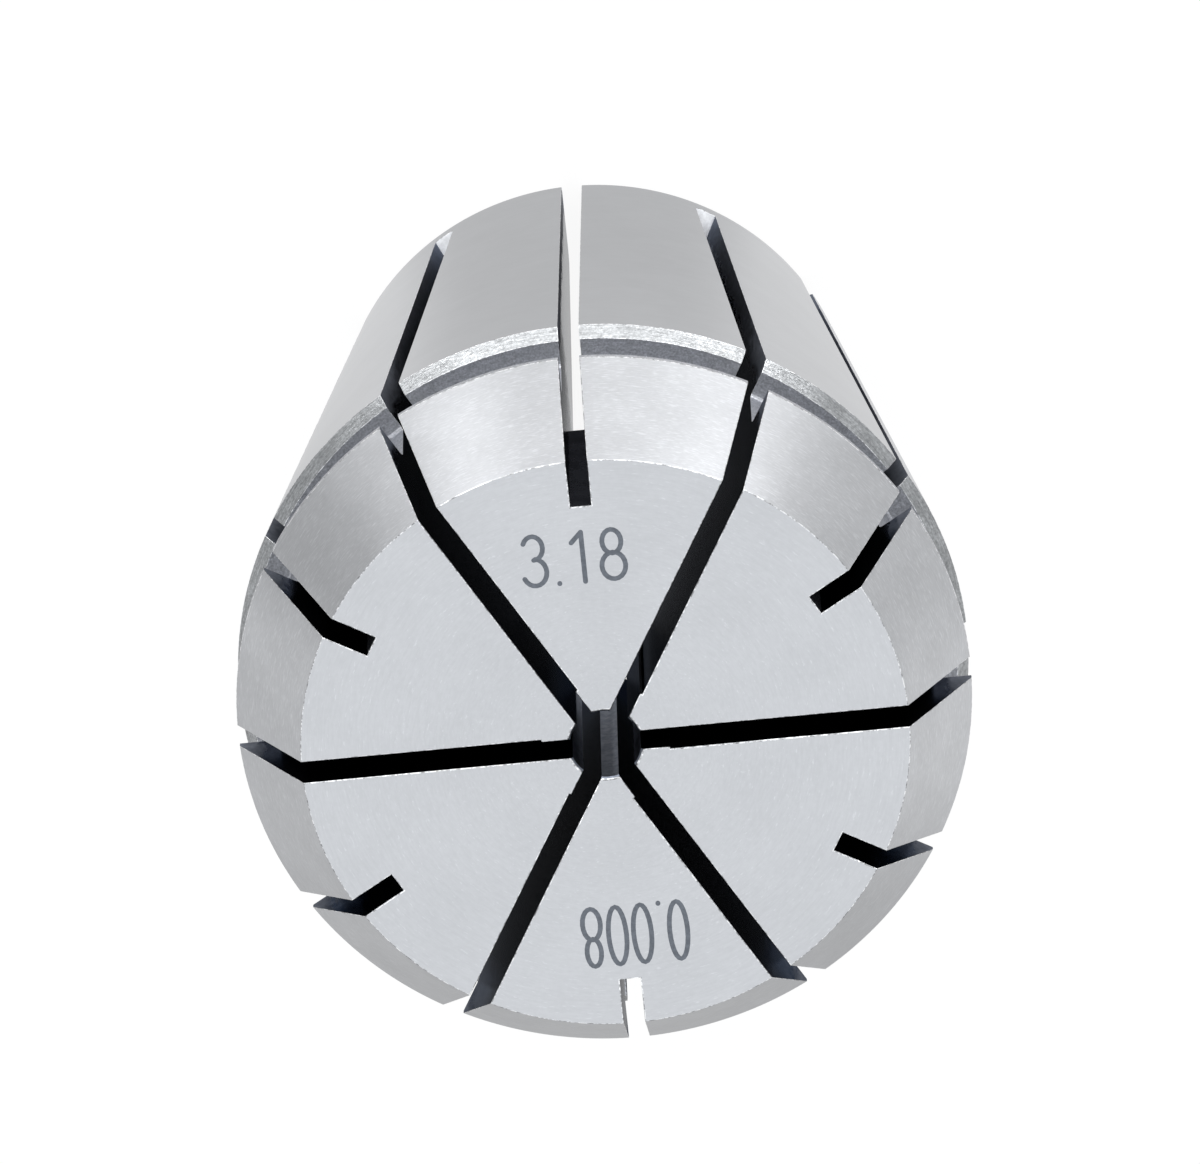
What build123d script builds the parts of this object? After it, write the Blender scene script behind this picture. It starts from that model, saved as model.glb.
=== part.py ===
"""Double-taper spring collet, size 32, for a 3.175 mm (1/8 in) shank.

One hardened spring-steel body. It is turned, ground on its two tapers, bored from the
nose and relieved from the rear, and then sawn lengthwise twelve times: six front slots
that stop just short of the rear end, and six rear slots that stop behind the nose and
run out over it as shallow notches. What is left is a closed serpentine of twelve fingers.

The collet stands on its small rear end: +Z is its axis, towards the nose, and the origin
is the centre of the rear end face. All lengths are millimetres and all angles degrees.
"""

from build123d import *
import math
import os

os.makedirs("parts", exist_ok=True)

# ---------------------------------------------------------------- driving dimensions
overall_length = 40.0
largest_diameter = 33.0  # of the nose rim, and of the long taper at its large end
seat_half_angle = 8.0  # long taper that seats in the chuck
nose_half_angle = 30.0  # short cone that the clamping nut presses on

nose_cone_length = 5.1  # along the axis, from the nose face to the rim
rim_land = 0.3  # narrow cylinder at the rim, between the cone and the groove
groove_width = 3.4  # extraction groove that the nut's lip snaps into
groove_depth = 1.75  # below the rim
groove_corner_radius = 0.25
taper_lead_chamfer = 0.5  # breaks the large end of the long taper, at the groove
rear_edge_chamfer = 0.3

grip_bore_diameter = 3.175
grip_length = 12.5  # of the bore's cylindrical wall
grip_mouth_chamfer = 0.1
grip_wall = 1.25  # metal around the grip bore: the front kerf narrows and rear slots stop there
relief_diameter = 17.0  # opened out from the rear, so that the fingers are thin enough to spring
relief_point_angle = 118.0
relief_mouth_chamfer = 0.5

slots_each_way = 6
front_kerf = 1.0
front_inner_kerf = 0.88  # within the grip wall, flush with one side of the wide kerf
rear_kerf = 0.95
rear_web = 1.5  # solid bridge across each front slot at the rear end, at its thin outer edge
runout_angle = 27.0  # the front slots' wheel runs out in a ramp that climbs inwards from there
front_web = 9.5  # solid bridge across each rear slot, behind the nose face
notch_reach = 2.15  # how far in from the edge of the nose face the rear slots run out over it

overcut = 1.0  # how far cutters stand out of the metal

# ---------------------------------------------------------------- derived sizes
rim_radius = largest_diameter / 2
grip_radius = grip_bore_diameter / 2
relief_radius = relief_diameter / 2
groove_floor_radius = rim_radius - groove_depth
kerf_step_radius = grip_radius + grip_wall

nose_face_z = overall_length
rim_front_z = nose_face_z - nose_cone_length
groove_front_z = rim_front_z - rim_land
groove_rear_z = groove_front_z - groove_width
taper_end_z = groove_rear_z - taper_lead_chamfer

nose_face_radius = rim_radius - nose_cone_length * math.tan(math.radians(nose_half_angle))
notch_floor_radius = nose_face_radius - notch_reach
taper_slope = math.tan(math.radians(seat_half_angle))
rear_edge_radius = rim_radius - (taper_end_z - rear_edge_chamfer) * taper_slope

grip_rear_z = nose_face_z - grip_mouth_chamfer - grip_length
point_length = (relief_radius - grip_radius) / math.tan(math.radians(relief_point_angle / 2))
relief_end_z = grip_rear_z - point_length

cutter_reach = rim_radius + overcut
slot_pitch = 360 / slots_each_way


def turned_body():
    """The collet before sawing: one closed half section, turned about the axis."""
    outside = [
        (rear_edge_radius - rear_edge_chamfer, 0),
        (rear_edge_radius, rear_edge_chamfer),
        (rim_radius, taper_end_z),
        (rim_radius - taper_lead_chamfer, groove_rear_z),
        (groove_floor_radius, groove_rear_z),
        (groove_floor_radius, groove_front_z),
        (rim_radius, groove_front_z),
        (rim_radius, rim_front_z),
        (nose_face_radius, nose_face_z),
    ]
    inside = [
        (grip_radius + grip_mouth_chamfer, nose_face_z),
        (grip_radius, nose_face_z - grip_mouth_chamfer),
        (grip_radius, grip_rear_z),
        (relief_radius, relief_end_z),
        (relief_radius, relief_mouth_chamfer),
        (relief_radius + relief_mouth_chamfer, 0),
    ]
    section = make_face(Polyline(*outside, *inside, close=True))
    floor_corners = section.vertices().filter_by(
        lambda corner: abs(corner.X - groove_floor_radius) < 1e-6
    )
    section = fillet(floor_corners, groove_corner_radius)
    return revolve(Plane.XZ * section, Axis.Z)


def plate(inner_radius, outer_radius, low_side, high_side, bottom_z, top_z):
    """A flat cutter along +X: it reaches between two radii and between its two sides in Y."""
    size = (outer_radius - inner_radius, high_side - low_side, top_z - bottom_z)
    corner = Location((inner_radius, low_side, bottom_z))
    return corner * Box(*size, align=(Align.MIN, Align.MIN, Align.MIN))


def front_slot():
    """Sawn from the nose down to the rear web, with a narrower kerf through the grip wall."""
    top_z = nose_face_z + overcut
    side = front_kerf / 2
    wide = plate(kerf_step_radius, cutter_reach, -side, side, 0, top_z)
    narrow = plate(0, cutter_reach, side - front_inner_kerf, side, 0, top_z)
    ramp_foot = Location((rear_edge_radius, 0, rear_web), (0, runout_angle, 0))
    below_ramp = ramp_foot * Box(
        4 * cutter_reach, 2 * front_kerf, overall_length, align=(Align.CENTER, Align.CENTER, Align.MAX)
    )
    return wide + narrow - below_ramp


def rear_slot():
    """Sawn from the rear up to the front web, then out over the nose as a shallow notch."""
    side = rear_kerf / 2
    web_rear_z = nose_face_z - front_web
    deep = plate(kerf_step_radius, cutter_reach, -side, side, -overcut, web_rear_z)
    notch = plate(notch_floor_radius, cutter_reach, -side, side, 0, nose_face_z + overcut)
    return deep + notch


def collet_body():
    """The turned body with both rings of slots, the rear ring half a pitch from the front one."""
    body = turned_body()
    for number in range(slots_each_way):
        body -= Rot(Z=number * slot_pitch) * front_slot()
        body -= Rot(Z=(number + 0.5) * slot_pitch) * rear_slot()
    return body


export_step(collet_body(), "parts/collet_body.step")
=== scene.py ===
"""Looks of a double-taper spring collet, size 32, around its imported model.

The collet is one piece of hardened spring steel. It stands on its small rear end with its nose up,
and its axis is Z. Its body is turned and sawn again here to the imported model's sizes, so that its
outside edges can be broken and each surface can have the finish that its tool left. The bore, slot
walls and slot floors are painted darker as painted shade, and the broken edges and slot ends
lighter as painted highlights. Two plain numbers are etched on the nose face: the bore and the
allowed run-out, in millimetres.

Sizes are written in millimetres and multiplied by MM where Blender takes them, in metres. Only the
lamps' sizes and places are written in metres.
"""

import math

import bmesh
import bpy
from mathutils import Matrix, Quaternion, Vector


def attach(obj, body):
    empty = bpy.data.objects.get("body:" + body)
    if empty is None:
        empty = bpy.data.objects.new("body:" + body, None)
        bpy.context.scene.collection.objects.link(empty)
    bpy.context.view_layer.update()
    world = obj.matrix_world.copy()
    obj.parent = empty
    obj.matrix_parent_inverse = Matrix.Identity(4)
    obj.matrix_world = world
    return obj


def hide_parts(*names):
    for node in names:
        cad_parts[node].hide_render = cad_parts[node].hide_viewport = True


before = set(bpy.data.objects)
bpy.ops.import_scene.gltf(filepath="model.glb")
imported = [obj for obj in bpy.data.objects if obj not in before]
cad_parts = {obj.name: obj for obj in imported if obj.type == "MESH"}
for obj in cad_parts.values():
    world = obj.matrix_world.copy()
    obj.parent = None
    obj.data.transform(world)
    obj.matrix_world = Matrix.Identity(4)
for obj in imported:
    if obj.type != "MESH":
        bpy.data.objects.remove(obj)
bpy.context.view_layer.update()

MM = 0.001

# ---------------------------------------------------------------- sizes of the collet, in mm
# The outside: a long seat taper up to the rim, and a short cone from the rim to the nose face.
overall_length = 40.0
rim_radius = 16.5
seat_half_angle = math.radians(8.0)
nose_half_angle = math.radians(30.0)

# The nose, the extraction groove behind it, and the edge breaks at each end of the seat taper.
nose_cone_length = 5.1
rim_land = 0.3
groove_width = 3.4
groove_depth = 1.75
groove_corner_radius = 0.25
taper_lead_chamfer = 0.5
rear_edge_chamfer = 0.3

# The bore: the grip at the nose, then a wide relief with a drill's point.
grip_radius = 1.5875
grip_length = 12.5
grip_mouth_chamfer = 0.1
grip_wall = 1.25
relief_radius = 8.5
relief_point_half_angle = math.radians(59.0)
relief_mouth_chamfer = 0.5

# The slots: front ones are sawn from the nose and rear ones from the small end, each to a web. A
# rear one also shows at the nose, as a notch in its edge. The cutters reach past by an overcut.
slots_each_way = 6
front_kerf = 1.0
front_inner_kerf = 0.88
rear_kerf = 0.95
rear_web = 1.5
runout_angle = math.radians(27.0)
front_web = 9.5
notch_reach = 2.15
overcut = 1.0
overcut_in_bore = 0.35

# The finished mesh: how wide its edges are broken and how finely it is drawn. A hair is the slack
# in tests of where something lies, and corner_reach is the room that a broken edge needs.
broken_edge = 0.05
broken_share = {"nose face": 1.0, "face outline": 0.6, "cone": 0.6, "below the rim": 0.35}
edge_steps = 2
corner_reach = 0.13
segments_around = 288
fillet_steps = 4
hair = 0.01
weld_distance = 0.0005

# The etched numbers: line width, the point's share of a digit's width, and clear heights.
etched_line = 0.22
point_share = 0.2
mark_lift = 0.004
stroke_lift = 0.002

# Worked out from the sizes above.
nose_face_z = overall_length
rim_front_z = nose_face_z - nose_cone_length
groove_front_z = rim_front_z - rim_land
groove_rear_z = groove_front_z - groove_width
taper_end_z = groove_rear_z - taper_lead_chamfer
groove_floor_radius = rim_radius - groove_depth
nose_face_radius = rim_radius - nose_cone_length * math.tan(nose_half_angle)
notch_floor_radius = nose_face_radius - notch_reach
rear_edge_radius = rim_radius - (taper_end_z - rear_edge_chamfer) * math.tan(seat_half_angle)
kerf_step_radius = grip_radius + grip_wall
mouth_radius = grip_radius + grip_mouth_chamfer
grip_rear_z = nose_face_z - grip_mouth_chamfer - grip_length
relief_end_z = grip_rear_z - (relief_radius - grip_radius) / math.tan(relief_point_half_angle)


# ---------------------------------------------------------------- building node trees
def add_node(tree, kind, inputs=None, **settings):
    """A node with its settings made, and each input given a value or linked from a socket."""
    node = tree.nodes.new(kind)
    for name, value in settings.items():
        setattr(node, name, value)
    for key, value in (inputs or {}).items():
        socket = node.inputs[key]
        if isinstance(value, bpy.types.NodeSocket):
            tree.links.new(value, socket)
        else:
            socket.default_value = value
    return node


def maths(tree, operation, *values):
    """One Math node; its result socket."""
    return add_node(tree, "ShaderNodeMath", dict(enumerate(values)), operation=operation).outputs[0]


def new_group(name, kind, inputs, outputs):
    """An empty node group with named sockets, its input node and its output node."""
    group = bpy.data.node_groups.new(name, kind)
    for socket_name, socket_type, default in inputs:
        socket = group.interface.new_socket(socket_name, in_out="INPUT", socket_type=socket_type)
        if default is not None:
            socket.default_value = default
    for socket_name, socket_type in outputs:
        group.interface.new_socket(socket_name, in_out="OUTPUT", socket_type=socket_type)
    given = group.nodes.new("NodeGroupInput").outputs
    result = group.nodes.new("NodeGroupOutput").inputs
    return group, given, result


def squared_radius(tree, x, y):
    """The square of the distance from the axis."""
    return maths(tree, "ADD", maths(tree, "MULTIPLY", x, x), maths(tree, "MULTIPLY", y, y))


def split(tree, vector):
    """The X, Y and Z of a vector socket."""
    return add_node(tree, "ShaderNodeSeparateXYZ", {0: vector}).outputs


def object_place(tree):
    """The point on the object, in the object's own metres."""
    return tree.nodes.new("ShaderNodeTexCoord").outputs["Object"]


# ---------------------------------------------------------------- finishes, and painted light and shade
LIMITS = [("From", 0.3), ("To", 0.7), ("Low", 0.0), ("High", 1.0)]


def stretched(tree, given, measure):
    """A measure stretched from the group's own From and To onto its Low and High."""
    return add_node(
        tree,
        "ShaderNodeMapRange",
        {
            "Value": measure,
            "From Min": given["From"],
            "From Max": given["To"],
            "To Min": given["Low"],
            "To Max": given["High"],
        },
        interpolation_type="SMOOTHSTEP",
    ).outputs[0]


def finish_group(name, **own_inputs):
    """A shader group with its own inputs and the four limits, which gives one value."""
    inputs = [(key, "NodeSocketFloat", value) for key, value in [*own_inputs.items(), *LIMITS]]
    return new_group(name, "ShaderNodeTree", inputs, [("Value", "NodeSocketFloat")])


def turned_grain_group():
    """Lines that follow the tool round the axis: longer with fewer Turns, broader with more Pitch.

    Pitch is in millimetres. A line lies where the height and the radius, taken together, have one
    value, so that lines run true round a flat face, a taper and a cylinder alike.
    """
    innermost = 0.1
    height_share = 1.3
    tree, given, result = finish_group("turned_grain", Pitch=0.1, Turns=12.0)
    x, y, z = split(tree, object_place(tree))
    radius = maths(tree, "MAXIMUM", maths(tree, "SQRT", squared_radius(tree, x, y)), innermost * MM)
    along = maths(tree, "SUBTRACT", maths(tree, "MULTIPLY", z, height_share), radius)
    across = maths(tree, "DIVIDE", along, maths(tree, "MULTIPLY", given["Pitch"], MM))
    turns_across = maths(tree, "DIVIDE", given["Turns"], radius)
    ring = [maths(tree, "MULTIPLY", side, turns_across) for side in (x, y)]
    way = add_node(tree, "ShaderNodeCombineXYZ", {0: ring[0], 1: ring[1]}).outputs[0]
    noise = add_node(
        tree,
        "ShaderNodeTexNoise",
        {"Vector": way, "W": across, "Scale": 1.0, "Detail": 2.0, "Roughness": 0.6},
        noise_dimensions="4D",
    ).outputs[0]
    tree.links.new(stretched(tree, given, noise), result["Value"])
    return tree


def mottle_group():
    """Soft patches of a given size in mm, the same in every direction."""
    tree, given, result = finish_group("mottle", Size=1.0)
    noise = add_node(
        tree,
        "ShaderNodeTexNoise",
        {
            "Vector": object_place(tree),
            "Scale": maths(tree, "DIVIDE", 1.0 / MM, given["Size"]),
            "Detail": 3.0,
            "Roughness": 0.6,
        },
    ).outputs[0]
    tree.links.new(stretched(tree, given, noise), result["Value"])
    return tree


def ragged_edge(tree, place, given):
    """A noise drawn out along the slot, from -Raggedness/2 to +Raggedness/2 mm."""
    along_the_slot = (1.0, 1.0, 0.3)
    tears_per_mm = 2.2
    drawn_out = add_node(
        tree, "ShaderNodeVectorMath", {0: place, 1: along_the_slot}, operation="MULTIPLY"
    ).outputs[0]
    noise = add_node(
        tree,
        "ShaderNodeTexNoise",
        {"Vector": drawn_out, "Scale": tears_per_mm / MM, "Detail": 4.0, "Roughness": 0.7},
    ).outputs[0]
    return maths(tree, "MULTIPLY", maths(tree, "SUBTRACT", noise, 0.5), given["Raggedness"])


def torn_wall_group():
    """Changes across a ragged line at a Height in mm, above which the saw tore the slot's wall."""
    tree, given, result = finish_group("torn_wall", Height=20.0, Raggedness=4.0)
    place = object_place(tree)
    z = split(tree, place)["Z"]
    above = maths(tree, "SUBTRACT", maths(tree, "DIVIDE", z, MM), given["Height"])
    share = maths(tree, "ADD", above, ragged_edge(tree, place, given))
    tree.links.new(stretched(tree, given, share), result["Value"])
    return tree


def torn_lip_and_painted_shading_group():
    """Changes across a ragged line at a Depth in mm under the seat taper.

    It gives the saw's torn lip, and also painted light at the lip and painted shade deeper in.
    """
    tree, given, result = finish_group("torn_lip_and_painted_shading", Depth=1.0, Raggedness=1.0)
    place = object_place(tree)
    x, y, z = split(tree, place)
    radius = maths(tree, "SQRT", squared_radius(tree, x, y))
    below_rim = maths(tree, "MAXIMUM", maths(tree, "SUBTRACT", taper_end_z * MM, z), 0.0)
    drawn_in = maths(tree, "MULTIPLY", below_rim, math.tan(seat_half_angle))
    taper_radius = maths(tree, "SUBTRACT", rim_radius * MM, drawn_in)
    depth = maths(tree, "DIVIDE", maths(tree, "SUBTRACT", taper_radius, radius), MM)
    deeper = maths(tree, "SUBTRACT", depth, given["Depth"])
    share = maths(tree, "ADD", deeper, ragged_edge(tree, place, given))
    tree.links.new(stretched(tree, given, share), result["Value"])
    return tree


turned_grain = turned_grain_group()
mottle = mottle_group()
torn_wall = torn_wall_group()
torn_lip_and_painted_shading = torn_lip_and_painted_shading_group()


def layered(tree, layers):
    """The product of several layers, each a finish group with its input values."""
    product = None
    for group, values in layers:
        layer = add_node(tree, "ShaderNodeGroup", values, node_tree=group).outputs[0]
        product = layer if product is None else maths(tree, "MULTIPLY", product, layer)
    return product


def steel(
    name,
    colour,
    roughness,
    shades,
    dulling=(),
    relief=(),
    relief_depth=0.0,
    edge_tint=(1.0, 1.0, 1.0),
):
    """Bare steel. The shades vary its colour, the dulling its roughness, the relief its normal.

    The edge tint colours what it mirrors at a grazing angle.
    """
    material = bpy.data.materials.new(name)
    material.use_nodes = True
    tree = material.node_tree
    shader = tree.nodes["Principled BSDF"]
    shader.inputs["Base Color"].default_value = (*colour, 1.0)
    shader.inputs["Metallic"].default_value = 1.0
    shader.inputs["Roughness"].default_value = roughness
    shader.inputs["Specular Tint"].default_value = (*edge_tint, 1.0)
    shaded = add_node(
        tree,
        "ShaderNodeVectorMath",
        {0: colour, "Scale": layered(tree, shades)},
        operation="SCALE",
    )
    tree.links.new(shaded.outputs[0], shader.inputs["Base Color"])
    if dulling:
        dulled = maths(tree, "MULTIPLY", layered(tree, dulling), roughness)
        tree.links.new(dulled, shader.inputs["Roughness"])
    if relief:
        bump = add_node(
            tree,
            "ShaderNodeBump",
            {"Height": layered(tree, relief), "Distance": relief_depth * MM, "Strength": 1.0},
        )
        tree.links.new(bump.outputs[0], shader.inputs["Normal"])
    return material


def limits(low, high, start, end):
    """Low where the group's own measure is at the start, and High where it is at the end."""
    return {"Low": low, "High": high, "From": start, "To": end}


def lines(pitch, turns, low, high, start=0.3, end=0.7):
    """Tool lines between two factors, low and high, where their noise runs from start to end."""
    return turned_grain, {"Pitch": pitch, "Turns": turns, **limits(low, high, start, end)}


def patches(size, low, high, start=0.3, end=0.7):
    """Soft patches between two factors, low and high, where their noise runs from start to end."""
    return mottle, {"Size": size, **limits(low, high, start, end)}


def torn_above(height, below, above, raggedness=14.0, softness=3.0):
    """One factor below a height in mm and another above it, with a ragged line between them."""
    change = limits(below, above, -softness, softness)
    return torn_wall, {"Height": height, "Raggedness": raggedness, **change}


def lip(depth, at_lip, deeper, raggedness=2.0, softness=0.3):
    """One factor down to a depth in mm under the seat taper and another deeper in."""
    change = limits(at_lip, deeper, -softness, softness)
    return torn_lip_and_painted_shading, {"Depth": depth, "Raggedness": raggedness, **change}


face_steel = steel(
    "ground_nose_face",
    colour=(0.56, 0.57, 0.59),
    roughness=0.32,
    shades=[
        lines(0.10, 14, 0.97, 1.02),
        patches(3.0, 0.975, 1.02),
        patches(0.25, 0.985, 1.015),
        lines(0.09, 30, 1.0, 1.14, 0.60, 0.72),
    ],
    dulling=[patches(1.5, 0.9, 1.1)],
)
cone_steel = steel(
    "brushed_nose_cone",
    colour=(0.54, 0.55, 0.57),
    roughness=0.30,
    shades=[
        lines(0.08, 50, 0.96, 1.04),
        lines(0.09, 36, 0.98, 1.16, 0.50, 0.70),
        patches(2.0, 0.965, 1.03),
    ],
)
groove_steel = steel(
    "turned_groove",
    colour=(0.46, 0.47, 0.50),
    roughness=0.45,
    shades=[
        lines(0.12, 40, 0.85, 1.12),
        patches(0.10, 0.78, 1.20),
        patches(0.22, 1.0, 1.6, 0.66, 0.76),
    ],
    relief=[patches(0.14, 0.0, 1.0)],
    relief_depth=0.006,
)
chamfer_steel = steel(
    "turned_chamfer",
    colour=(0.45, 0.46, 0.47),
    roughness=0.30,
    shades=[
        lines(0.09, 40, 0.76, 1.15),
        patches(0.12, 0.86, 1.14, 0.36, 0.64),
        lines(0.12, 8, 0.85, 1.10),
        patches(1.6, 0.88, 1.06),
    ],
    relief=[lines(0.08, 60, 0.0, 1.0)],
    relief_depth=0.010,
)
taper_steel = steel(
    "ground_seat_taper",
    colour=(0.47, 0.48, 0.50),
    roughness=0.28,
    shades=[lines(0.5, 8, 0.985, 1.01), patches(2.5, 0.98, 1.02), lines(0.12, 20, 0.99, 1.01)],
)
rear_steel = steel(
    "turned_rear_end",
    colour=(0.50, 0.51, 0.53),
    roughness=0.40,
    shades=[lines(0.2, 4, 0.85, 1.1), patches(0.6, 0.9, 1.08)],
)
# The bore's dark colour is painted shade inside the hole.
bore_steel_painted_dark = steel(
    "honed_bore_painted_shade",
    colour=(0.205, 0.225, 0.27),
    roughness=0.30,
    shades=[lines(0.25, 5, 0.85, 1.1), patches(0.35, 0.70, 1.15)],
)
# The slot walls' dark colour and low edge tint are painted shade, so that the deep slots read dark.
slot_steel_with_painted_shading = steel(
    "sawn_slot_wall_painted_shade",
    colour=(0.17, 0.18, 0.205),
    roughness=0.14,
    shades=[
        patches(0.9, 0.85, 1.1),
        patches(0.22, 0.88, 1.1),
        torn_above(25.0, 1.1, 0.9),
        # Lighter at the lip: painted light that lifts a dark streak along the slot's mouth.
        lip(1.0, 1.6, 1.0),
        # Darker from 3 mm under the seat taper inward: painted shade deep in the slots.
        lip(3.0, 1.0, 0.3),
    ],
    dulling=[torn_above(25.0, 0.9, 1.5), lip(1.0, 2.6, 1.0)],
    edge_tint=(0.225, 0.24, 0.27),
)
# The slot ends' light colour is a painted highlight where the saw's ramp catches light.
slot_end_steel_painted_light = steel(
    "sawn_slot_end_painted_light",
    colour=(0.80, 0.81, 0.83),
    roughness=0.60,
    shades=[patches(0.3, 0.88, 1.08)],
)
# The slot floors' near-black colour and low edge tint are painted shade deep in the slots.
slot_floor_painted_shade = steel(
    "painted_shade_slot_floor",
    colour=(0.09, 0.093, 0.105),
    roughness=0.45,
    shades=[patches(0.9, 0.85, 1.15)],
    edge_tint=(0.1, 0.1, 0.1),
)
etched_steel = steel(
    "etched_mark",
    colour=(0.165, 0.18, 0.205),
    roughness=0.50,
    shades=[patches(0.25, 0.85, 1.12)],
)
# The broken edges' light colour is a painted highlight; its patches break the bright line up.
edge_steel_painted_highlight = steel(
    "broken_edge",
    colour=(0.90, 0.91, 0.93),
    roughness=0.30,
    shades=[patches(0.5, 0.6, 1.08, 0.38, 0.55), patches(0.15, 0.45, 1.1, 0.38, 0.60)],
)


# ---------------------------------------------------------------- the sawn body
def half_section():
    """The turned body's section as (radius, height) corners in order round it."""
    outside = [
        (rear_edge_radius - rear_edge_chamfer, 0),
        (rear_edge_radius, rear_edge_chamfer),
        (rim_radius, taper_end_z),
        (rim_radius - taper_lead_chamfer, groove_rear_z),
    ]
    fillet_x = groove_floor_radius + groove_corner_radius
    for start, fillet_z in (
        (270, groove_rear_z + groove_corner_radius),
        (180, groove_front_z - groove_corner_radius),
    ):
        for step in range(fillet_steps + 1):
            turn = math.radians(start - 90 * step / fillet_steps)
            across = groove_corner_radius * math.cos(turn)
            up = groove_corner_radius * math.sin(turn)
            outside.append((fillet_x + across, fillet_z + up))
    outside += [
        (rim_radius, groove_front_z),
        (rim_radius, rim_front_z),
        (nose_face_radius, nose_face_z),
    ]
    inside = [
        (mouth_radius, nose_face_z),
        (grip_radius, nose_face_z - grip_mouth_chamfer),
        (grip_radius, grip_rear_z),
        (relief_radius, relief_end_z),
        (relief_radius, relief_mouth_chamfer),
        (relief_radius + relief_mouth_chamfer, 0),
    ]
    return outside + inside


def lathe_and_saw_tree():
    """Turns a half section about Z, gives each surface its finish, and saws the slots."""
    inputs = [
        ("Half Section", "NodeSocketGeometry", None),
        ("Segments", "NodeSocketInt", segments_around),
        ("Lathe Radius", "NodeSocketFloat", grip_radius * MM),
        ("Slots Each Way", "NodeSocketInt", slots_each_way),
        ("Front Cutter", "NodeSocketObject", None),
        ("Rear Cutter", "NodeSocketObject", None),
    ]
    tree, given, result = new_group(
        "lathe_and_saw", "GeometryNodeTree", inputs, [("Body", "NodeSocketGeometry")]
    )

    circle = add_node(
        tree,
        "GeometryNodeCurvePrimitiveCircle",
        {"Resolution": given["Segments"], "Radius": given["Lathe Radius"]},
    ).outputs["Curve"]
    section = add_node(tree, "GeometryNodeMeshToCurve", {"Mesh": given["Half Section"]}).outputs[0]
    inside_out = add_node(
        tree, "GeometryNodeCurveToMesh", {"Curve": circle, "Profile Curve": section}
    ).outputs["Mesh"]
    turned = add_node(tree, "GeometryNodeFlipFaces", {"Mesh": inside_out}).outputs[0]

    x, y, height = split(tree, tree.nodes.new("GeometryNodeInputPosition").outputs[0])
    radius = maths(tree, "SQRT", squared_radius(tree, x, y))
    zones = [
        (taper_steel, None, None, None),
        (rear_steel, height, "LESS_THAN", rear_edge_chamfer - hair),
        (chamfer_steel, height, "GREATER_THAN", taper_end_z + hair),
        (groove_steel, height, "GREATER_THAN", groove_rear_z - hair),
        (cone_steel, height, "GREATER_THAN", rim_front_z + hair),
        (bore_steel_painted_dark, radius, "LESS_THAN", relief_radius + relief_mouth_chamfer - hair),
        (face_steel, height, "GREATER_THAN", nose_face_z - hair),
    ]
    for finish, measure, side, limit in zones:
        finished = add_node(
            tree, "GeometryNodeSetMaterial", {"Geometry": turned, "Material": finish}
        )
        if measure is not None:
            chosen = maths(tree, side, measure, limit * MM)
            tree.links.new(chosen, finished.inputs["Selection"])
        turned = finished.outputs[0]

    sawn = turned
    for cutter_name, first_pitch in (("Front Cutter", 0.0), ("Rear Cutter", 0.5)):
        blade = add_node(tree, "GeometryNodeObjectInfo", {"Object": given[cutter_name]})
        points = add_node(tree, "GeometryNodePoints", {"Count": given["Slots Each Way"]}).outputs[0]
        number = tree.nodes.new("GeometryNodeInputIndex").outputs[0]
        pitches = maths(tree, "ADD", number, first_pitch)
        share = maths(tree, "DIVIDE", pitches, given["Slots Each Way"])
        turn = add_node(
            tree, "ShaderNodeCombineXYZ", {"Z": maths(tree, "MULTIPLY", share, 2 * math.pi)}
        ).outputs[0]
        ring = add_node(
            tree,
            "GeometryNodeInstanceOnPoints",
            {"Points": points, "Instance": blade.outputs["Geometry"], "Rotation": turn},
        ).outputs[0]
        solid_ring = add_node(tree, "GeometryNodeRealizeInstances", {0: ring}).outputs[0]
        sawn = add_node(
            tree,
            "GeometryNodeMeshBoolean",
            {"Mesh 1": sawn, "Mesh 2": solid_ring, "Self Intersection": True},
            operation="DIFFERENCE",
            solver="EXACT",
        ).outputs["Mesh"]
    welded = add_node(
        tree, "GeometryNodeMergeByDistance", {"Geometry": sawn, "Distance": weld_distance * MM}
    ).outputs[0]
    smooth = add_node(tree, "GeometryNodeSetShadeSmooth", {"Geometry": welded}).outputs[0]
    tree.links.new(smooth, result["Body"])
    return tree


def cutter(name, outline, ends, place):
    """A closed cutter: an outline swept between two ends. place() says where a point of it lies.

    What it cuts takes the cutter's own finishes: walls, slot ends facing up or down, and floors,
    each with painted shade or a painted highlight in its colour.
    """
    count = len(outline)
    points = [Vector(place(*corner, end)) * MM for end in ends for corner in outline]
    faces = [tuple(range(count)), tuple(range(count, 2 * count))]
    faces += [(n, (n + 1) % count, count + (n + 1) % count, count + n) for n in range(count)]
    mesh = bpy.data.meshes.new(name)
    mesh.from_pydata(points, [], faces)
    cut_materials = [slot_steel_with_painted_shading, slot_end_steel_painted_light, slot_floor_painted_shade]
    for finish in cut_materials:
        mesh.materials.append(finish)
    facing = 0.5
    shape = bmesh.new()
    shape.from_mesh(mesh)
    bmesh.ops.recalc_face_normals(shape, faces=shape.faces)
    for face in shape.faces:
        if abs(face.normal.z) > facing:
            face.material_index = cut_materials.index(slot_end_steel_painted_light)
        elif abs(face.normal.x) > facing:
            face.material_index = cut_materials.index(slot_floor_painted_shade)
    shape.to_mesh(mesh)
    shape.free()
    blade = bpy.data.objects.new(name, mesh)
    bpy.context.scene.collection.objects.link(blade)
    return blade


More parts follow.
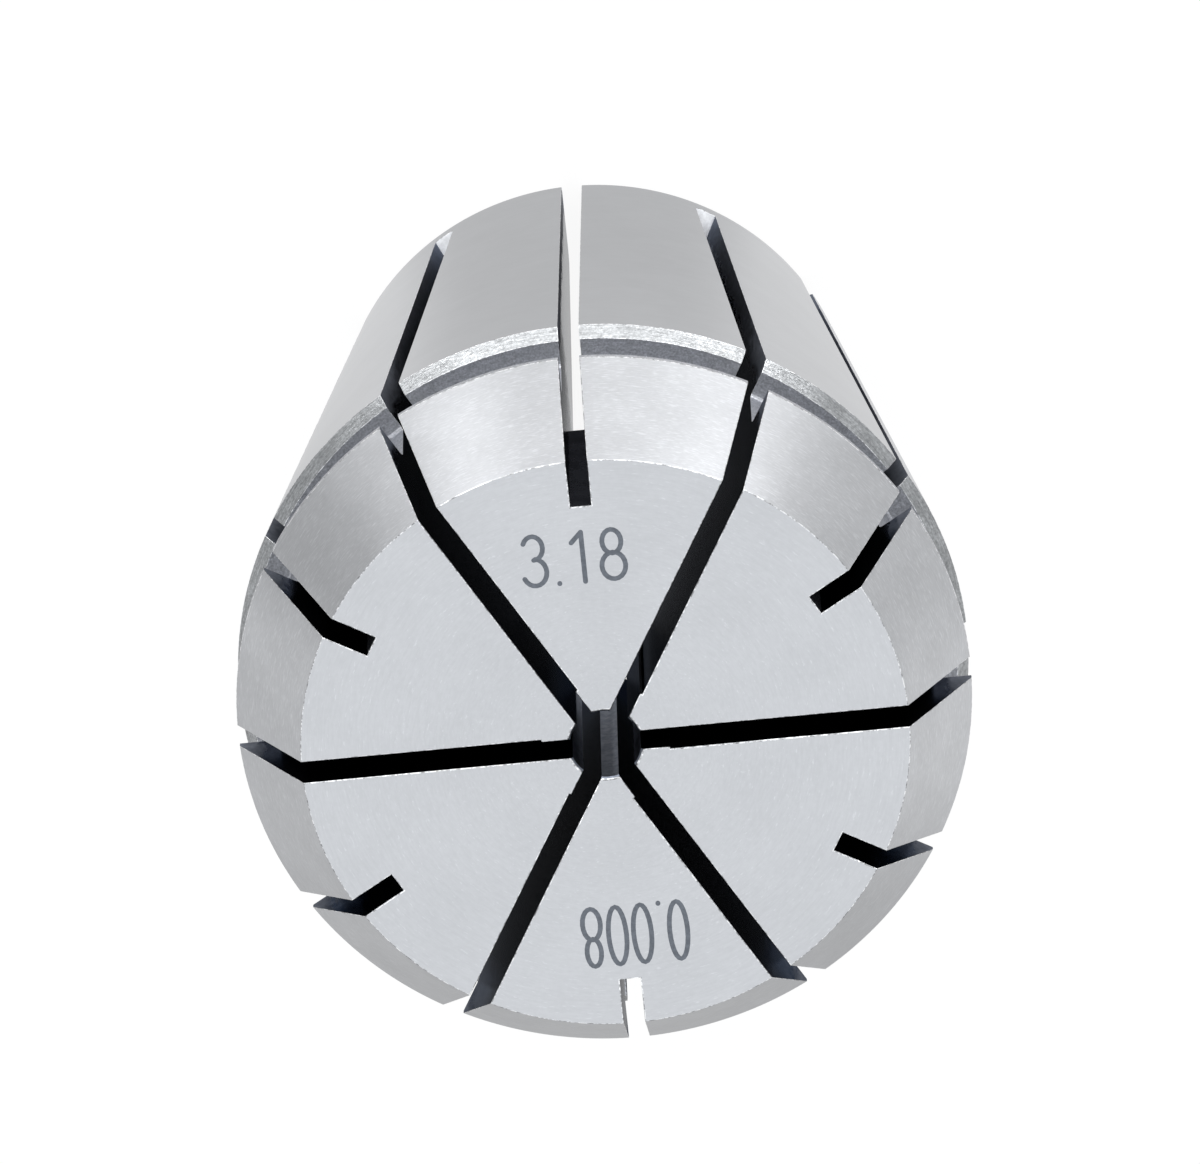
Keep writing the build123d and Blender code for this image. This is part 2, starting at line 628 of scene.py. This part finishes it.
def front_cutter():
    """Cuts from the nose down to the rear web's ramp, with a narrower kerf in the grip wall."""
    wide = front_kerf / 2
    inner = wide - front_inner_kerf
    start = grip_radius - overcut_in_bore
    reach = rim_radius + overcut
    top = nose_face_z + overcut
    outline = [
        (start, inner),
        (kerf_step_radius, inner),
        (kerf_step_radius, -wide),
        (reach, -wide),
        (reach, wide),
        (start, wide),
    ]

    def place(along, across, end):
        climb = 0.0 if end == top else (rear_edge_radius - along) * math.tan(runout_angle)
        return (along, across, end + climb)

    return cutter("front_cutter", outline, (rear_web, top), place)


def rear_cutter():
    """Cuts from the rear up to the front web, and runs out over the nose as a shallow notch."""
    web_z = nose_face_z - front_web
    top = nose_face_z + overcut
    reach = rim_radius + overcut
    outline = [
        (kerf_step_radius, -overcut),
        (reach, -overcut),
        (reach, top),
        (notch_floor_radius, top),
        (notch_floor_radius, web_z),
        (kerf_step_radius, web_z),
    ]
    ends = (-rear_kerf / 2, rear_kerf / 2)
    return cutter("rear_cutter", outline, ends, lambda along, up, end: (along, end, up))


def plain_mesh_from(rough, name):
    """The evaluated object as a plain mesh object with no modifiers; the rough one goes."""
    bpy.context.view_layer.update()
    depsgraph = bpy.context.evaluated_depsgraph_get()
    mesh = bpy.data.meshes.new_from_object(
        rough.evaluated_get(depsgraph), preserve_all_data_layers=True, depsgraph=depsgraph
    )
    mesh.name = name
    finished = bpy.data.objects.new(name, mesh)
    bpy.context.scene.collection.objects.link(finished)
    bpy.data.objects.remove(rough)
    return finished


def join_flat_faces(mesh):
    """Faces that lie in one plane become one face, so that the edges round it break evenly."""
    one_plane = math.radians(0.3)
    shape = bmesh.new()
    shape.from_mesh(mesh)
    bmesh.ops.dissolve_limit(
        shape,
        angle_limit=one_plane,
        verts=shape.verts,
        edges=shape.edges,
        delimit={"MATERIAL"},
    )
    shape.to_mesh(mesh)
    shape.free()


def clear_mouth_corners(mesh):
    """Makes room for the slots' broken edges where they meet the bore's mouth.

    The mouth's own points that lie too near a slot's corner close up onto that corner.
    """
    level_within, round_within = 0.001, 0.002
    shape = bmesh.new()
    shape.from_mesh(mesh)
    slot_number = mesh.materials.find(slot_steel_with_painted_shading.name)

    def on_mouth(point):
        above = point.co.z / MM - nose_face_z
        outside = point.co.xy.length / MM - mouth_radius
        return abs(above) < level_within and abs(outside) < round_within

    def at_slot(point):
        return any(face.material_index == slot_number for face in point.link_faces)

    mouth = [point for point in shape.verts if on_mouth(point)]
    corners = [point for point in mouth if at_slot(point)]
    plain = [point for point in mouth if point not in corners]
    for corner in corners:
        close = [point for point in plain if (point.co - corner.co).length < corner_reach * MM]
        plain = [point for point in plain if point not in close]
        if close:
            bmesh.ops.pointmerge(shape, verts=[corner] + close, merge_co=corner.co)
    shape.to_mesh(mesh)
    shape.free()


def weigh_edges(mesh):
    """Sets how far each outside edge is broken: most on the nose face, least below the rim.

    Inside corners, and edges that run down the bore and the slots, stay as the saw left them.
    """
    an_edge = math.radians(20)
    steep = 0.1
    shape = bmesh.new()
    shape.from_mesh(mesh)
    weight = shape.edges.layers.float.new("bevel_weight_edge")
    for edge in shape.edges:
        if len(edge.link_faces) != 2 or edge.calc_face_angle() <= an_edge:
            continue
        first, last = (point.co / MM for point in edge.verts)
        near_axis, far_out = sorted((first.xy.length, last.xy.length))
        height = (first.z + last.z) / 2
        upright = math.dist(first.xy, last.xy) < steep * abs(first.z - last.z)
        on_face = height > nose_face_z - hair
        in_mouth = not on_face and far_out < mouth_radius + hair
        if upright or in_mouth or not edge.is_convex:
            edge.smooth = False
        elif on_face:
            outline = near_axis > nose_face_radius - broken_edge
            edge[weight] = broken_share["face outline" if outline else "nose face"]
        else:
            edge[weight] = broken_share["cone" if height > rim_front_z - hair else "below the rim"]
    shape.to_mesh(mesh)
    shape.free()


def sawn_body():
    """The collet's body: turned and sawn by the tree, then its edges broken."""
    corners = half_section()
    # The tree takes the section laid flat, out from the lathe's circle, with its height along -Y.
    section = bpy.data.meshes.new("half_section")
    section.from_pydata(
        [((radius - grip_radius) * MM, -height * MM, 0) for radius, height in corners],
        [(number, (number + 1) % len(corners)) for number in range(len(corners))],
        [],
    )
    rough = bpy.data.objects.new("rough_body", section)
    bpy.context.scene.collection.objects.link(rough)

    cutters = (front_cutter(), rear_cutter())
    values = {
        "Segments": segments_around,
        "Lathe Radius": grip_radius * MM,
        "Slots Each Way": slots_each_way,
        "Front Cutter": cutters[0],
        "Rear Cutter": cutters[1],
    }
    lathe = rough.modifiers.new("lathe_and_saw", "NODES")
    lathe.node_group = lathe_and_saw_tree()
    for socket in lathe.node_group.interface.items_tree:
        if socket.in_out == "INPUT" and socket.name in values:
            lathe[socket.identifier] = values[socket.name]
    sawn = plain_mesh_from(rough, "sawn_blank")
    for blade in cutters:
        bpy.data.objects.remove(blade)
    join_flat_faces(sawn.data)
    clear_mouth_corners(sawn.data)
    weigh_edges(sawn.data)
    sawn.data.materials.append(edge_steel_painted_highlight)
    edges = sawn.modifiers.new("broken_edges", "BEVEL")
    edges.material = len(sawn.data.materials) - 1
    edges.width = broken_edge * MM
    edges.segments = edge_steps
    edges.limit_method = "WEIGHT"
    edges.harden_normals = True
    edges.use_clamp_overlap = False
    return plain_mesh_from(sawn, "sawn_body")


body = sawn_body()
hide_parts("collet_body")
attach(body, "root")


# ---------------------------------------------------------------- etched numbers
def arc(centre, across, up, start, end, steps=14):
    """Points along part of an ellipse, by angle in degrees."""
    x, y = centre
    turns = [math.radians(start + (end - start) * step / steps) for step in range(steps + 1)]
    return [(x + across * math.cos(turn), y + up * math.sin(turn)) for turn in turns]


# Each character's strokes, as shares of the digit's width and height.
STROKES = {
    "0": [arc((0.5, 0.5), 0.5, 0.5, 0, 360, 24)],
    "1": [[(0.60, 1.0), (0.60, 0.0)], [(0.16, 0.80), (0.60, 1.0)]],
    "3": [arc((0.46, 0.76), 0.42, 0.24, 155, -90), arc((0.46, 0.27), 0.50, 0.27, 82, -155)],
    "8": [arc((0.5, 0.76), 0.40, 0.24, 0, 360, 20), arc((0.5, 0.27), 0.50, 0.27, 0, 360, 20)],
    ".": [[(0.5, 0.0), (0.5, 0.01)]],
}


def ribbon(path, half_width):
    """The two sides of a flat line along a path, and its round ends unless it meets itself."""
    cap_steps = 6
    path = [Vector(point) for point in path]
    closed = (path[0] - path[-1]).length < half_width / 100
    sides = []
    for number, point in enumerate(path):
        before = path[number - 1] if number else (path[-2] if closed else point)
        after = path[number + 1] if number + 1 < len(path) else (path[1] if closed else point)
        way = (after - before).normalized()
        side = Vector((-way.y, way.x)) * half_width
        sides.append((point + side, point - side))
    caps = []
    if not closed:
        for point, start in ((path[0], sides[0][0]), (path[-1], sides[-1][1])):
            across = start - point
            first = math.degrees(math.atan2(across.y, across.x))
            caps.append(arc(point, half_width, half_width, first, first + 180, cap_steps))
    return sides, caps


def etched_number(name, text, corner, reading, digit_width, digit_height, pitch, point_pitch):
    """A number in flat single strokes, just proud of the nose face, each stroke over the last.

    The first digit's lower left corner lies at the given corner. The number reads along +X where
    reading is +1, and along -X where it is -1.
    """
    points, faces = [], []

    def add_face(outline, height):
        first = len(points)
        for along, up in outline:
            x = corner[0] + reading * along
            y = corner[1] + reading * up
            points.append(Vector((x, y, height)) * MM)
        faces.append(tuple(range(first, first + len(outline))))

    pen = 0.0
    for character in text:
        is_point = character == "."
        width = digit_width * (point_share if is_point else 1.0)
        for layer, stroke in enumerate(STROKES[character]):
            path = [(pen + along * width, up * digit_height) for along, up in stroke]
            height = nose_face_z + mark_lift + stroke_lift * layer
            sides, caps = ribbon(path, etched_line / 2)
            for near, far in zip(sides, sides[1:]):
                add_face((near[0], near[1], far[1], far[0]), height)
            for cap in caps:
                add_face(cap, height)
        pen += point_pitch if is_point else pitch
    mesh = bpy.data.meshes.new(name)
    mesh.from_pydata(points, [], faces)
    mesh.materials.append(etched_steel)
    mark = bpy.data.objects.new(name, mesh)
    bpy.context.scene.collection.objects.link(mark)
    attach(mark, "root")


etched_number(
    "bore_size",
    "3.18",
    corner=(2.80, -7.85),
    reading=-1,
    digit_width=1.05,
    digit_height=2.35,
    pitch=1.42,
    point_pitch=0.62,
)
etched_number(
    "run_out",
    "0.008",
    corner=(-2.79, 7.85),
    reading=1,
    digit_width=0.80,
    digit_height=2.80,
    pitch=1.12,
    point_pitch=0.50,
)


# ---------------------------------------------------------------- floor, light and camera
def floor_paint():
    """Plain pale paint. To the camera it is white, with only a trace of the collet's shade on it.

    In the steel it mirrors as a painted reflection: to glossy rays the floor glows as a bright
    sheet, with painted darker and brighter parts round the collet.
    """
    paint = (0.74, 0.74, 0.74, 1.0)
    white_level = 1.05
    white_share = 0.88
    plain_painted_glow = 0.98
    near_within, far_beyond = 20 * MM, 35 * MM

    material = bpy.data.materials.new("pale_floor")
    material.use_nodes = True
    tree = material.node_tree
    tree.nodes.clear()
    lit = add_node(tree, "ShaderNodeBsdfDiffuse", {"Color": paint}).outputs[0]
    path = tree.nodes.new("ShaderNodeLightPath").outputs
    place = object_place(tree)

    def vector_maths(operation, *vectors):
        inputs = dict(enumerate(vectors))
        return add_node(tree, "ShaderNodeVectorMath", inputs, operation=operation).outputs

    def fade(value, start, end):
        return add_node(
            tree,
            "ShaderNodeMapRange",
            {"Value": value, "From Min": start, "From Max": end},
            interpolation_type="SMOOTHSTEP",
        ).outputs[0]

    way = vector_maths("NORMALIZE", place)[0]

    def toward(bearing, inner, outer):
        """1 within the inner angle of a bearing, fading to 0 at the outer one, in degrees."""
        turn = math.radians(bearing)
        direction = (math.cos(turn), math.sin(turn), 0.0)
        match = vector_maths("DOT_PRODUCT", way, direction)["Value"]
        return fade(match, math.cos(math.radians(outer)), math.cos(math.radians(inner)))

    near = fade(vector_maths("LENGTH", place)["Value"], far_beyond, near_within)
    far = maths(tree, "SUBTRACT", 1.0, near)
    painted_glow = plain_painted_glow
    # Painted reflection: near or far, the bearing, the angles that it fades between, and the change
    # of the painted glow there.
    for reach, bearing, inner, outer, change in (
        (near, -90, 23, 50, -0.20),
        (far, -106, 4, 16, 0.20),
        (far, -20, 5, 20, -0.34),
        (far, 25, 5, 30, -0.18),
        (far, 90, 20, 60, -0.34),
        (far, -168, 8, 30, -0.13),
    ):
        painted_patch = maths(tree, "MULTIPLY", reach, toward(bearing, inner, outer))
        painted_glow = maths(tree, "ADD", painted_glow, maths(tree, "MULTIPLY", painted_patch, change))

    # Camera rays see an even white; glossy rays see the painted glow, a painted reflection from no
    # lamp.
    seen = maths(tree, "MAXIMUM", path["Is Camera Ray"], path["Is Transmission Ray"])
    mirrored = path["Is Glossy Ray"]
    strength = maths(
        tree,
        "ADD",
        maths(tree, "MULTIPLY", seen, white_level),
        maths(tree, "MULTIPLY", mirrored, painted_glow),
    )
    white = add_node(tree, "ShaderNodeEmission", {"Strength": strength}).outputs[0]
    share = maths(tree, "MAXIMUM", maths(tree, "MULTIPLY", seen, white_share), mirrored)
    mixed = add_node(tree, "ShaderNodeMixShader", {0: share, 1: lit, 2: white}).outputs[0]
    add_node(tree, "ShaderNodeOutputMaterial", {"Surface": mixed})
    return material


def floor():
    """A wide plain floor just under the collet."""
    half = 3000 * MM
    gap = 0.02 * MM
    corners = [(-half, -half), (half, -half), (half, half), (-half, half)]
    mesh = bpy.data.meshes.new("floor")
    mesh.from_pydata([(x, y, -gap) for x, y in corners], [], [(0, 1, 2, 3)])
    mesh.materials.append(floor_paint())
    plane = bpy.data.objects.new("floor", mesh)
    bpy.context.scene.collection.objects.link(plane)


def studio_world():
    """A soft surround, brighter overhead than at the horizon, which the camera sees as white."""
    white = (1.0, 1.0, 1.0, 1.0)
    cool_white = (0.96, 0.98, 1.0, 1.0)
    overhead = 0.6
    at_horizon, from_above = 0.40, 0.93

    world = bpy.data.worlds.new("studio")
    world.use_nodes = True
    tree = world.node_tree
    tree.nodes.clear()
    path = tree.nodes.new("ShaderNodeLightPath").outputs
    rise = split(tree, tree.nodes.new("ShaderNodeTexCoord").outputs["Generated"])["Z"]
    strength = add_node(
        tree,
        "ShaderNodeMapRange",
        {
            "Value": rise,
            "From Min": 0.0,
            "From Max": overhead,
            "To Min": at_horizon,
            "To Max": from_above,
        },
        interpolation_type="SMOOTHSTEP",
    ).outputs[0]
    surround, backdrop = (
        add_node(tree, "ShaderNodeBackground", {"Color": colour, "Strength": level}).outputs[0]
        for colour, level in ((cool_white, strength), (white, 1.0))
    )
    mixed = add_node(
        tree, "ShaderNodeMixShader", {0: path["Is Camera Ray"], 1: surround, 2: backdrop}
    ).outputs[0]
    add_node(tree, "ShaderNodeOutputWorld", {"Surface": mixed})
    bpy.context.scene.world = world


def soft_box(name, place, width, height, power):
    """A rectangular area lamp, aimed near the groove; lengths in metres, power in watts."""
    aim_height = 30 * MM
    aim = Vector((0, 0, aim_height))
    lamp = bpy.data.lights.new(name, "AREA")
    lamp.shape = "RECTANGLE"
    lamp.size = width
    lamp.size_y = height
    lamp.energy = power
    box = bpy.data.objects.new(name, lamp)
    box.location = place
    box.rotation_euler = (aim - Vector(place)).to_track_quat("-Z", "Y").to_euler()
    bpy.context.scene.collection.objects.link(box)


def camera():
    """Looks down on the nose from in front and far off, turned so that the nose is at the foot."""
    lens_length = 364.9
    sensor_width = 36.0
    distance = 559.4
    azimuth = math.radians(-94.02)
    elevation = math.radians(68.455)
    roll = math.radians(178.38)
    aim = Vector((0.053, 0.118, 20.0))
    nearest, farthest = 10, 20000

    level = math.cos(elevation)
    outward = Vector((level * math.cos(azimuth), level * math.sin(azimuth), math.sin(elevation)))
    data = bpy.data.cameras.new("camera")
    data.lens = lens_length
    data.sensor_width = sensor_width
    data.sensor_fit = "HORIZONTAL"
    data.clip_start = nearest * MM
    data.clip_end = farthest * MM
    view = bpy.data.objects.new("camera", data)
    view.location = (aim + outward * distance) * MM
    turned = (-outward).to_track_quat("-Z", "Y") @ Quaternion((0, 0, 1), roll)
    view.rotation_euler = turned.to_euler()
    bpy.context.scene.collection.objects.link(view)
    bpy.context.scene.camera = view


floor()
studio_world()
soft_box("key", (0.0, -0.75, 0.28), width=1.0, height=0.6, power=2.85)
soft_box("top", (0.0, 0.3, 0.9), width=0.9, height=0.9, power=0.6)
soft_box("edge", (0.0, -0.55, 0.62), width=0.7, height=0.25, power=1.0)
soft_box("right", (-0.50, -0.64, 0.12), width=0.3, height=0.25, power=1.2)
soft_box("left", (0.40, -0.70, 0.12), width=0.25, height=0.25, power=0.8)
camera()
bpy.context.scene.view_settings.view_transform = "Standard"
